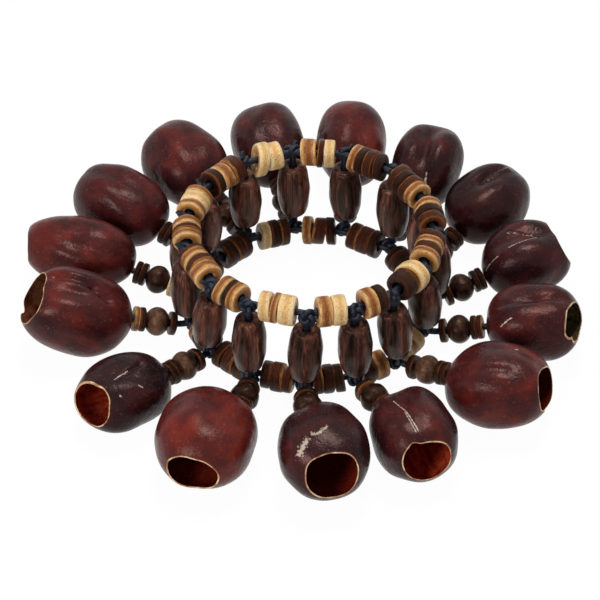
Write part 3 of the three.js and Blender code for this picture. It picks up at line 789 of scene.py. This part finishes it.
def husk_shell(husk, seed, flaws, thick_lip, marks):
    """A shell worked out round the direction of its mouth: rows run from the back to the lip outside, over
    the sawn rim, and from the lip to the back inside. The lip lies in one plane, a little uneven."""
    mouth = pointing(*husk["mouth"])
    turn = full_circle(HUSK_ROUND)[None, :]

    def near(place, width):
        away = (turn - math.radians(place) + np.pi) % (2 * np.pi) - np.pi
        return bell(away, math.radians(width))

    uneven = sum(share * np.cos(count * turn + shift * seed) for count, share, shift in LIP_WAVES)
    uneven = uneven - sum(depth * near(place, width) for place, width, depth in flaws)
    plane = husk["lip"] * skin_reach(husk, mouth[:, 0]) * (1 + uneven)
    thick_place, thick_width, added = thick_lip
    lip_wall = LIP_WALL + added * MM * near(thick_place, thick_width)

    def lip_angle(inset):
        low, high = np.zeros_like(turn), np.full_like(turn, np.pi / 2)
        for _ in range(LIP_HALVINGS):
            middle = (low + high) / 2
            beyond = (skin_reach(husk, rays(middle, turn) @ mouth.T) - inset) * np.cos(middle) > plane
            low, high = np.where(beyond, middle, low), np.where(beyond, high, middle)
        return low

    outside = np.append(np.linspace(0, 1 - LIP_EDGE, OUTER_ROWS - 1), 1.0)[:, None]
    inside = np.append(1.0, np.linspace(1 - LIP_EDGE, 0, INNER_ROWS - 1))[:, None]
    rim = np.linspace(0, 1, RIM_ROWS + 2)[1:-1, None]
    outer_lip, inner_lip = lip_angle(0), lip_angle(lip_wall)
    opening = np.concatenate([np.pi - (np.pi - outer_lip) * outside,
                              outer_lip + (inner_lip - outer_lip) * rim,
                              np.pi - (np.pi - inner_lip) * inside])
    look = rays(opening, turn) @ mouth.T
    thicker = np.minimum(1, (1 - inside) / LIP_TAPER)
    wall = np.concatenate([0 * outside + 0 * turn,
                           lip_wall * rim,
                           lip_wall + (HUSK_WALL - lip_wall) * thicker])
    hollow = np.concatenate([0 * outside, 0 * rim, np.ones_like(inside)]) + 0 * turn
    sawn = np.concatenate([outside == 1, np.ones_like(rim), inside == 1]) + 0 * turn
    cut, lines = marks_at(marks, look)
    skin = look * (skin_reach(husk, look) + lumps_at(look, seed) - LUMP_ROOM - wall - cut)[..., None]
    attributes = {"sawn": sawn.ravel(), "hollow": hollow.ravel(), "look": look.reshape(-1, 3) + seed}
    attributes |= {f"mark_{slot}": line.reshape(-1, 3) for slot, line in enumerate(lines)}
    return skin, attributes


# The patterns of a skin go by direction from the husk's middle, so their sizes are taken about its girth
GIRTH_R = 10.5 * MM
CLOUD = 7.5 * MM
WRINKLE = 2.1 * MM
SKIN_FIBRE_WIDTH = 1.5 * MM
SKIN_FIBRE_LENGTH = 8.75 * MM
PORE = 0.6 * MM


def seed_case():
    """A dried seed case: a waxy skin clouded from purple-brown to red-brown, with faint fibres along its
    length and wrinkles that break up its shine, a bare sawn lip and a red hollow."""
    material, tree = blank("seed_case")
    where = add(tree, "ShaderNodeTexCoord", output="Object")
    look = add(tree, "ShaderNodeAttribute", output="Vector", attribute_name="look")
    redness = add(tree, "ShaderNodeAttribute", output="Fac", attribute_name="redness")
    pith_share = add(tree, "ShaderNodeAttribute", output="Fac", attribute_name="pith")
    fresh_share = add(tree, "ShaderNodeAttribute", output="Fac", attribute_name="fresh")
    hollow = add(tree, "ShaderNodeAttribute", output="Fac", attribute_name="hollow")
    sawn = add(tree, "ShaderNodeAttribute", output="Fac", attribute_name="sawn")
    clouds = add(tree, "ShaderNodeTexNoise", {"Vector": look, "Scale": GIRTH_R / CLOUD, "Detail": 4.0,
                                              "Roughness": 0.55, "Distortion": 0.4})
    fibre_size = (GIRTH_R / SKIN_FIBRE_LENGTH, GIRTH_R / SKIN_FIBRE_WIDTH, GIRTH_R / SKIN_FIBRE_WIDTH)
    drawn = add(tree, "ShaderNodeMapping", {"Vector": look, "Scale": fibre_size})
    fibres = add(tree, "ShaderNodeTexNoise", {"Vector": drawn, "Scale": 1.0, "Detail": 5.0,
                                              "Roughness": 0.65, "Distortion": 0.3})
    wrinkles = add(tree, "ShaderNodeTexNoise", {"Vector": look, "Scale": GIRTH_R / WRINKLE, "Detail": 3.0,
                                                "Distortion": 0.5})
    pores = add(tree, "ShaderNodeTexNoise", {"Vector": where, "Scale": 1 / PORE, "Detail": 4.0})

    # The skin: clouds and fibres shift it between purple-brown and red, and its pores hold pale dust
    lean = add(tree, "ShaderNodeMath", {0: redness, 1: 0.42, 2: clouds}, operation="MULTIPLY_ADD")
    along = add(tree, "ShaderNodeMapRange", {"Value": fibres, "From Min": 0.3, "From Max": 0.7,
                                             "To Min": -0.07, "To Max": 0.07})
    red = add(tree, "ShaderNodeMath", {0: lean, 1: along}, operation="ADD")
    tone = add(tree, "ShaderNodeMapRange", {"Value": red, "From Min": 0.40, "From Max": 1.10})
    skin_stops = ("#1a0c0f", "#291013", "#3d1616", "#561c18", "#6f251b")
    skin = add(tree, "ShaderNodeValToRGB", {"Fac": tone}, stops=skin_stops)
    dust = add(tree, "ShaderNodeMapRange", {"Value": pores, "From Min": 0.63, "From Max": 0.74,
                                            "To Max": 0.35})
    dusty = add(tree, "ShaderNodeMix", {"Factor": dust, 6: skin, 7: "#8a6a62"}, 2, data_type="RGBA")

    # The marks: bare where a place lies within a mark's width and its ends, with a ragged edge
    ragged = add(tree, "ShaderNodeMapRange", {"Value": pores, "From Min": 0.3, "From Max": 0.7,
                                              "To Min": -0.6, "To Max": 1.1})
    bare = 0.0
    for slot in range(MARK_SLOTS):
        line = add(tree, "ShaderNodeAttribute", output="Vector", attribute_name=f"mark_{slot}")
        across = add(tree, "ShaderNodeSeparateXYZ", {0: line}, "X")
        beyond = add(tree, "ShaderNodeSeparateXYZ", {0: line}, "Y")
        strength = add(tree, "ShaderNodeSeparateXYZ", {0: line}, "Z")
        beside = add(tree, "ShaderNodeMath", {0: across}, operation="ABSOLUTE")
        away = add(tree, "ShaderNodeMath", {0: beside, 1: beyond}, operation="MAXIMUM")
        edge = add(tree, "ShaderNodeMath", {0: away, 1: ragged}, operation="ADD")
        within = add(tree, "ShaderNodeMapRange", {"Value": edge, "From Min": 0.7, "From Max": 1.3,
                                                  "To Min": 1.0, "To Max": 0.0})
        scratch = add(tree, "ShaderNodeMath", {0: within, 1: strength}, operation="MULTIPLY")
        bare = add(tree, "ShaderNodeMath", {0: bare, 1: scratch}, operation="MAXIMUM")
    scuffed = add(tree, "ShaderNodeMix", {"Factor": bare, 6: dusty, 7: "#b8a796"}, 2, data_type="RGBA")

    # The hollow: deep red, redder and streaked where it is fresh, and grey-brown where pith was left in
    streaks = add(tree, "ShaderNodeMapRange", {"Value": fibres, "From Min": 0.35, "From Max": 0.65})
    deep = add(tree, "ShaderNodeMix", {"Factor": fibres, 6: "#480f08", 7: "#8c2e1b"}, 2, data_type="RGBA")
    fresh = add(tree, "ShaderNodeMix", {"Factor": streaks, 6: "#761a0b", 7: "#cc5034"}, 2, data_type="RGBA")
    red_wall = add(tree, "ShaderNodeMix", {"Factor": fresh_share, 6: deep, 7: fresh}, 2, data_type="RGBA")
    pith = add(tree, "ShaderNodeMix", {"Factor": streaks, 6: "#2a2016", 7: "#94805a"}, 2, data_type="RGBA")
    lining = add(tree, "ShaderNodeMix", {"Factor": pith_share, 6: red_wall, 7: pith}, 2, data_type="RGBA")
    walls = add(tree, "ShaderNodeMix", {"Factor": hollow, 6: scuffed, 7: lining}, 2, data_type="RGBA")

    # The sawn lip, and the shine of the whole
    patches = add(tree, "ShaderNodeMapRange", {"Value": wrinkles, "From Min": 0.35, "From Max": 0.65})
    lip = add(tree, "ShaderNodeValToRGB", {"Fac": patches}, stops=("#83573a", "#c0936a", "#e2c79c"))
    colour = add(tree, "ShaderNodeMix", {"Factor": sawn, 6: walls, 7: lip}, 2, data_type="RGBA")
    roughness = add(tree, "ShaderNodeMapRange", {"Value": wrinkles, "From Min": 0.3, "From Max": 0.7,
                                                 "To Min": 0.20, "To Max": 0.36})
    fine = add(tree, "ShaderNodeMath", {0: fibres, 1: 1.5, 2: pores}, operation="MULTIPLY_ADD")
    height = add(tree, "ShaderNodeMath", {0: wrinkles, 1: 4.0, 2: fine}, operation="MULTIPLY_ADD")
    relief = add(tree, "ShaderNodeBump", {"Height": height, "Strength": 0.18, "Distance": 0.3 * MM})
    wax = add(tree, "ShaderNodeBsdfPrincipled", {"Base Color": colour, "Roughness": roughness,
                                                 "Specular IOR Level": 0.16, "Specular Tint": "#ffd2c6",
                                                 "Normal": relief})
    add(tree, "ShaderNodeOutputMaterial", {"Surface": wax})
    return material


seed_skin = seed_case()
for k, (number, husk) in enumerate(zip(numbers, husks)):
    way = tail_ways[k]
    beside = np.array([-headings[k][1], headings[k][0], 0.0])
    tail_frame = np.stack([way, beside, np.cross(way, beside)], 1)
    flaws, thick_lip, marks = LIP_FLAWS.get(k + 1, []), THICK_LIPS.get(k + 1, EVEN_LIP), MARKS.get(k + 1, [])
    skin, attributes = husk_shell(husk, float(k), flaws, thick_lip, marks)
    all_over = {"redness": REDNESS[k], "pith": PITH.get(k + 1, 0.0), "fresh": FRESH.get(k + 1, 0.0)}
    for label, value in all_over.items():
        attributes[label] = np.full(len(attributes["sawn"]), value)
    middle = np.array([husk_middles[k], husk["side"] * MM, 0.0])
    placed = tail_points[k] + (skin @ pointing(husk["turn"], husk["rise"]).T + middle) @ tail_frame.T
    piece(f"husk_{number}", [(surface(placed), 0)], [seed_skin], f"husk_{number}",
          f"seed_husk_{number}", attributes)
